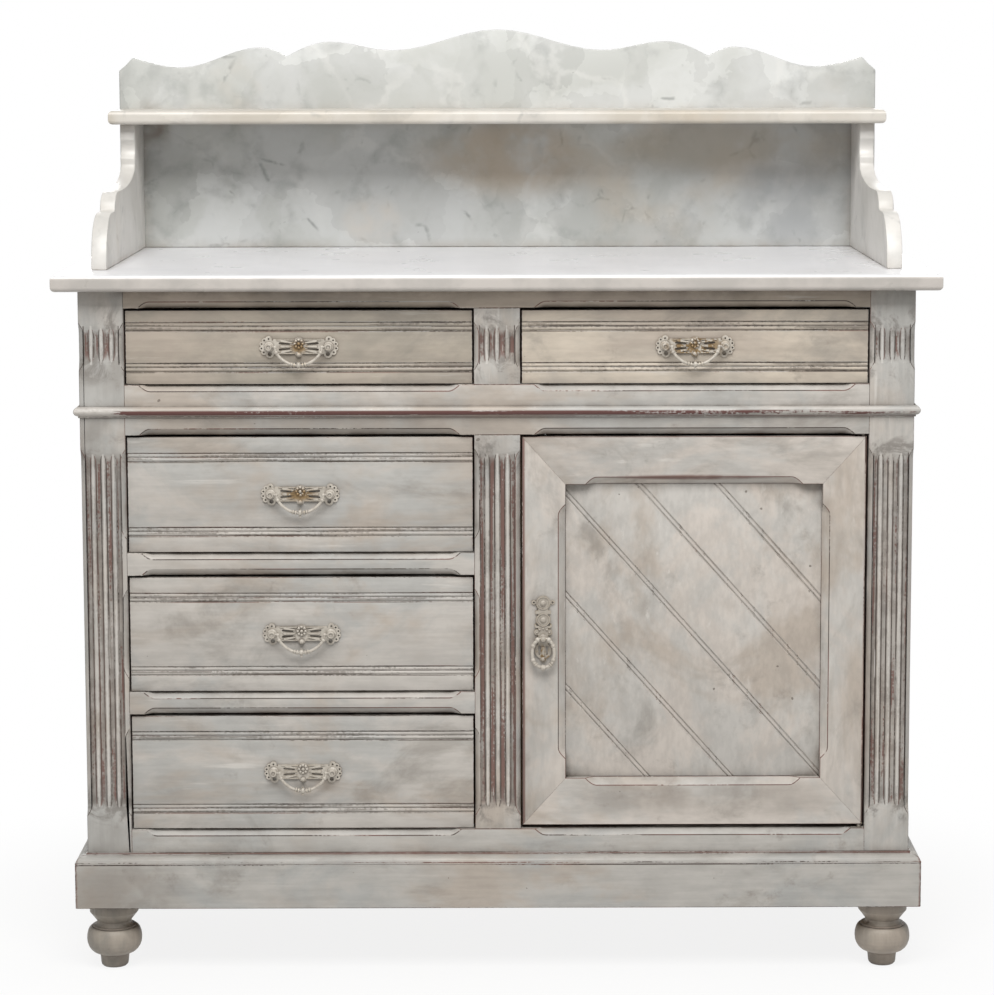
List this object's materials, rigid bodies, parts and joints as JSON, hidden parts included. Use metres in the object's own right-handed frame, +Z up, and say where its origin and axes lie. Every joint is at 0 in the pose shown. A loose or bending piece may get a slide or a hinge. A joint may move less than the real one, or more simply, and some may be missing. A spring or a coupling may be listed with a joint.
{
  "type": "washstand",
  "caption": "Painted wooden washstand with a marble top, tall scrolled splashback and bracketed marble shelf, fitted with sliding drawers and a hinged cupboard door.",
  "frame": {"origin": "on the floor, under the middle of the marble top", "axes": "+Z up, front faces -Y, +X to the viewer's right"},
  "size_m": [1.067, 0.52, 1.155],
  "materials": {
    "marble": "polished white marble with grey veins",
    "cream_paint": "rubbed cream paint over wood",
    "grey_paint": "rubbed grey paint over wood",
    "bare_wood": "unpainted pine",
    "brass": "aged cast brass"
  },
  "bodies": {
    "carcass": {"marble_top": "marble", "splashback": "marble", "marble_shelf": "marble", "bracket_left": "marble", "bracket_right": "marble", "front_stile_left": "cream_paint", "front_stile_right": "cream_paint", "muntin_upper": "cream_paint", "muntin_lower": "cream_paint", "top_rail": "cream_paint", "frieze_rail": "cream_paint", "drawer_rail_upper": "cream_paint", "drawer_rail_lower": "cream_paint", "bottom_rail": "grey_paint", "waist_moulding": "cream_paint", "plinth_boards": "grey_paint", "plinth_moulding": "grey_paint", "feet": "grey_paint", "rear_posts": "cream_paint", "side_rails": "cream_paint", "side_panel_left": "cream_paint", "side_panel_right": "cream_paint", "back_rails": "bare_wood", "back_boards": "bare_wood", "deck_board": "bare_wood", "floor_board": "bare_wood", "partitions": "bare_wood", "drawer_runners": "bare_wood", "hinge_pins": "brass", "catch_strike": "brass", "door_stop": "bare_wood"},
    "upper_left_drawer": {"upper_left_front": "cream_paint", "upper_left_box": "bare_wood", "upper_left_plate": "brass"},
    "upper_right_drawer": {"upper_right_front": "cream_paint", "upper_right_box": "bare_wood", "upper_right_plate": "brass"},
    "first_drawer": {"first_front": "cream_paint", "first_box": "bare_wood", "first_plate": "brass"},
    "second_drawer": {"second_front": "cream_paint", "second_box": "bare_wood", "second_plate": "brass"},
    "third_drawer": {"third_front": "cream_paint", "third_box": "bare_wood", "third_plate": "brass"},
    "upper_left_bail": {"upper_left_bail": "brass"},
    "upper_right_bail": {"upper_right_bail": "brass"},
    "first_bail": {"first_bail": "brass"},
    "second_bail": {"second_bail": "brass"},
    "third_bail": {"third_bail": "brass"},
    "door": {"door_stile_hinge": "cream_paint", "door_stile_pull": "cream_paint", "door_rail_top": "cream_paint", "door_rail_bottom": "cream_paint", "door_panel": "cream_paint", "pivot_plates": "brass", "door_pull_plate": "brass", "door_catch": "brass"},
    "door_ring": {"door_pull_ring": "brass"}
  },
  "joints": [
    {"name": "upper_left_drawer_slide", "type": "slide", "parent": "carcass", "child": "upper_left_drawer", "axis": [0, -1, 0], "range_m": [0, 0.3]},
    {"name": "upper_right_drawer_slide", "type": "slide", "parent": "carcass", "child": "upper_right_drawer", "axis": [0, -1, 0], "range_m": [0, 0.3]},
    {"name": "first_drawer_slide", "type": "slide", "parent": "carcass", "child": "first_drawer", "axis": [0, -1, 0], "range_m": [0, 0.3]},
    {"name": "second_drawer_slide", "type": "slide", "parent": "carcass", "child": "second_drawer", "axis": [0, -1, 0], "range_m": [0, 0.3]},
    {"name": "third_drawer_slide", "type": "slide", "parent": "carcass", "child": "third_drawer", "axis": [0, -1, 0], "range_m": [0, 0.3]},
    {"name": "upper_left_bail_swing", "type": "hinge", "parent": "upper_left_drawer", "child": "upper_left_bail", "pos_m": [-0.239, -0.239, 0.77475], "axis": [-1, 0, 0], "range_deg": [0, 100]},
    {"name": "upper_right_bail_swing", "type": "hinge", "parent": "upper_right_drawer", "child": "upper_right_bail", "pos_m": [0.239, -0.239, 0.77475], "axis": [-1, 0, 0], "range_deg": [0, 100]},
    {"name": "first_bail_swing", "type": "hinge", "parent": "first_drawer", "child": "first_bail", "pos_m": [-0.239, -0.239, 0.595], "axis": [-1, 0, 0], "range_deg": [0, 100]},
    {"name": "second_bail_swing", "type": "hinge", "parent": "second_drawer", "child": "second_bail", "pos_m": [-0.239, -0.239, 0.423], "axis": [-1, 0, 0], "range_deg": [0, 100]},
    {"name": "third_bail_swing", "type": "hinge", "parent": "third_drawer", "child": "third_bail", "pos_m": [-0.239, -0.239, 0.251], "axis": [-1, 0, 0], "range_deg": [0, 100]},
    {"name": "door_hinge", "type": "hinge", "parent": "carcass", "child": "door", "pos_m": [0.4438, -0.2248, 0.4237], "axis": [0, 0, 1], "range_deg": [0, 95]},
    {"name": "door_ring_swing", "type": "hinge", "parent": "door", "child": "door_ring", "pos_m": [0.0555, -0.237, 0.417], "axis": [-1, 0, 0], "range_deg": [0, 90]}
  ]
}
